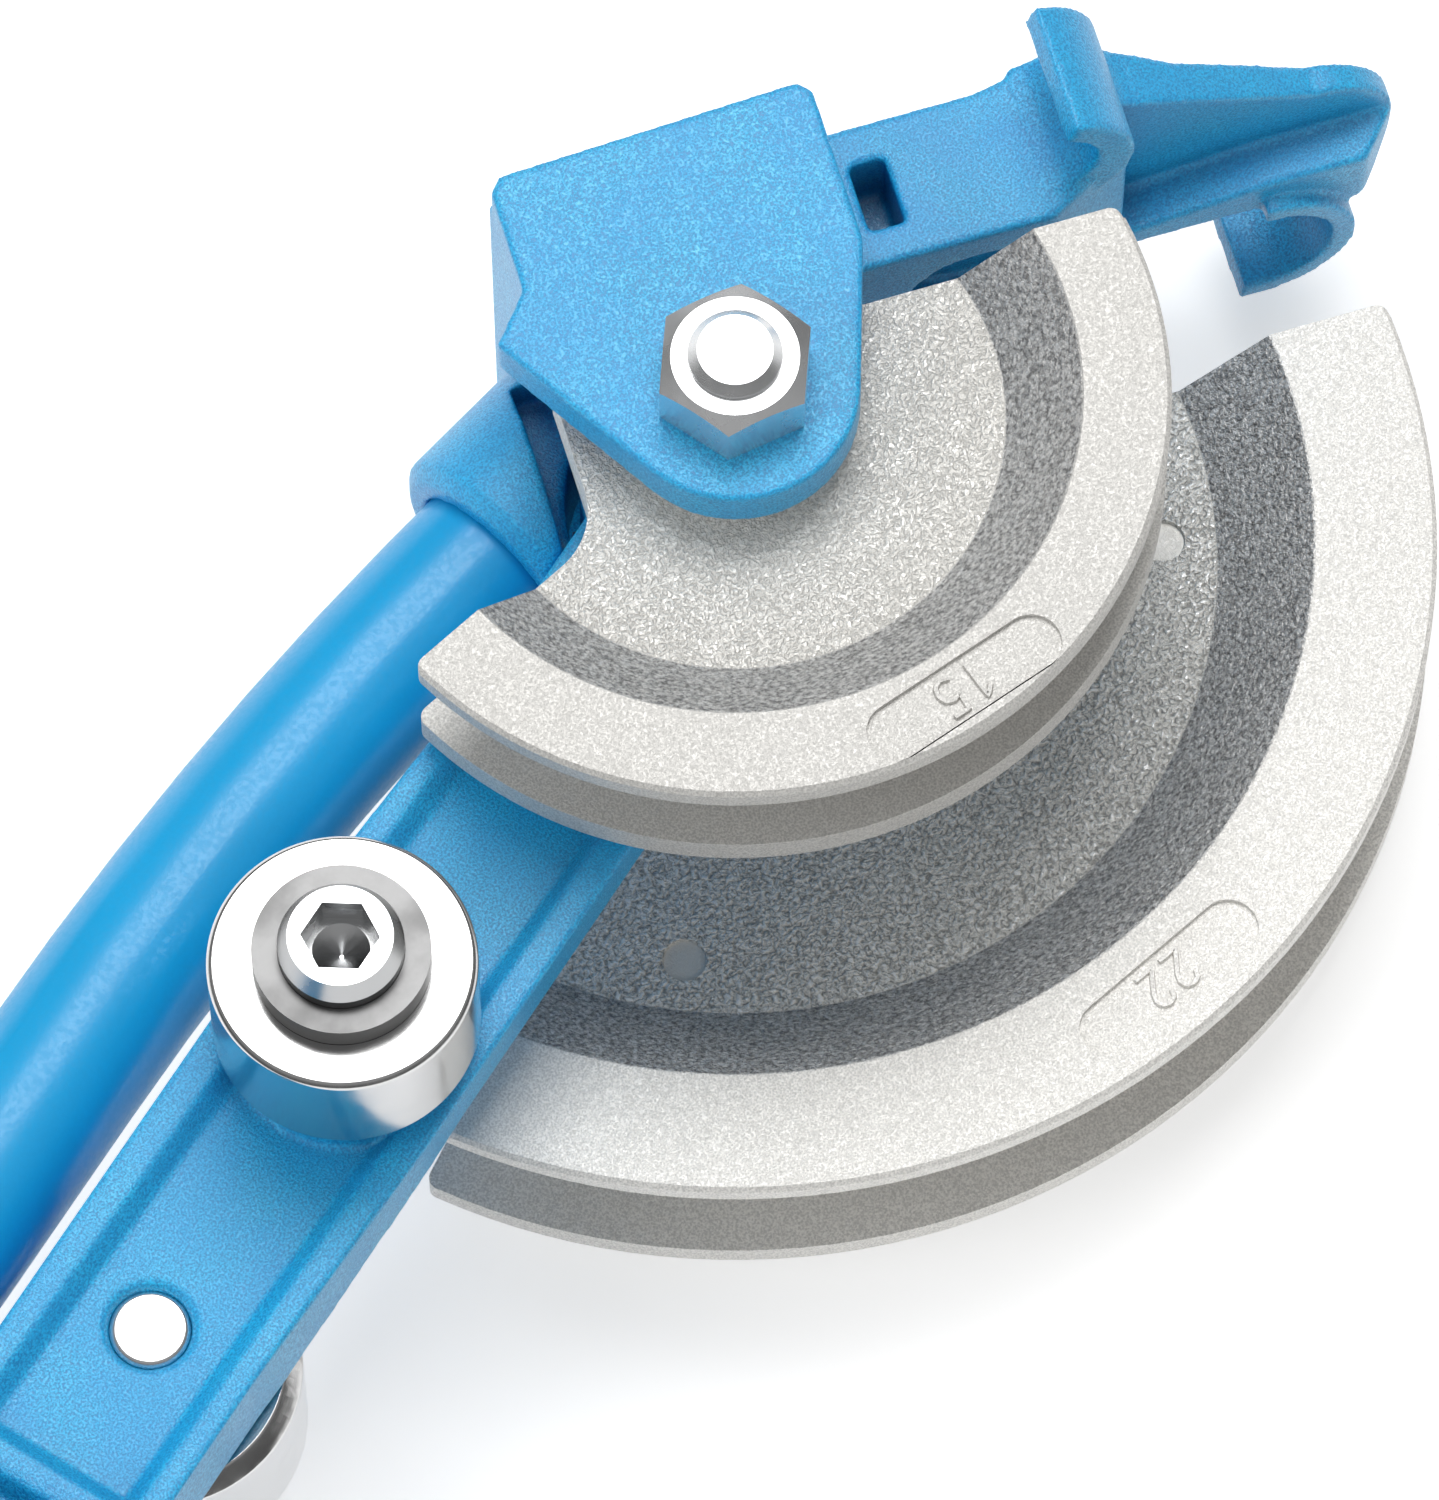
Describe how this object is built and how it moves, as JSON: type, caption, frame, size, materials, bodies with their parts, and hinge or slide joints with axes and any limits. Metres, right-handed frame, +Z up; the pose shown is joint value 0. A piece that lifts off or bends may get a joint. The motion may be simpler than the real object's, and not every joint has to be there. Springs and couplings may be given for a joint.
{
  "type": "tube bending pliers",
  "caption": "Hand tube bender: two grooved half-round formers and tube hooks on a forked head, with a roller lever that swings round the pivot between two long handles.",
  "frame": {"origin": "on the pivot axis at the bolt head's outer face, which rests on the bench", "axes": "+Z up along the pivot bolt towards its nut, the closed lever and both handles along -X, the fixed handle on the +Y side"},
  "size_m": [0.7376, 0.1595, 0.109],
  "materials": {
    "cast_paint": "fine textured powder coat, satin",
    "tube_paint": "smooth satin powder coat",
    "cast_aluminium": "bead-blasted casting, matt",
    "zinc": "bright zinc plating",
    "turned_steel": "fine turned, bright",
    "bronze": "plain bearing bronze",
    "grip_rubber": "matt with turned rings",
    "plug_plastic": "matt"
  },
  "bodies": {
    "frame": {"head_casting": "cast_paint", "small_former": "cast_aluminium", "large_former": "cast_aluminium", "former_dowels": "zinc", "pivot_bolt": "zinc", "pivot_nut": "zinc", "front_thrust_washer": "bronze", "rear_thrust_washer": "bronze", "frame_tube": "tube_paint", "frame_tube_pin": "zinc", "frame_grip": "grip_rubber", "frame_end_plug": "plug_plastic"},
    "lever": {"lever_arm": "cast_paint", "pivot_bush": "bronze", "lever_tube": "tube_paint", "lever_tube_pin": "zinc", "lever_grip": "grip_rubber", "lever_end_plug": "plug_plastic", "roller_sleeve": "zinc", "roller_screw": "zinc", "rear_axle": "zinc", "rear_roller_washer": "zinc"},
    "front_roller_body": {"front_roller": "turned_steel"},
    "rear_roller_body": {"rear_roller": "turned_steel"}
  },
  "joints": [
    {"name": "lever_hinge", "type": "hinge", "parent": "frame", "child": "lever", "pos_m": [0, 0, 0.0545], "axis": [0, 0, 1], "range_deg": [0, 138]},
    {"name": "front_roller_spin", "type": "hinge", "parent": "lever", "child": "front_roller_body", "pos_m": [-0.1064, 0, 0.0826], "axis": [0, 0, 1], "continuous": true},
    {"name": "rear_roller_spin", "type": "hinge", "parent": "lever", "child": "rear_roller_body", "pos_m": [-0.1595, 0, 0.0341], "axis": [0, 0, 1], "continuous": true}
  ]
}
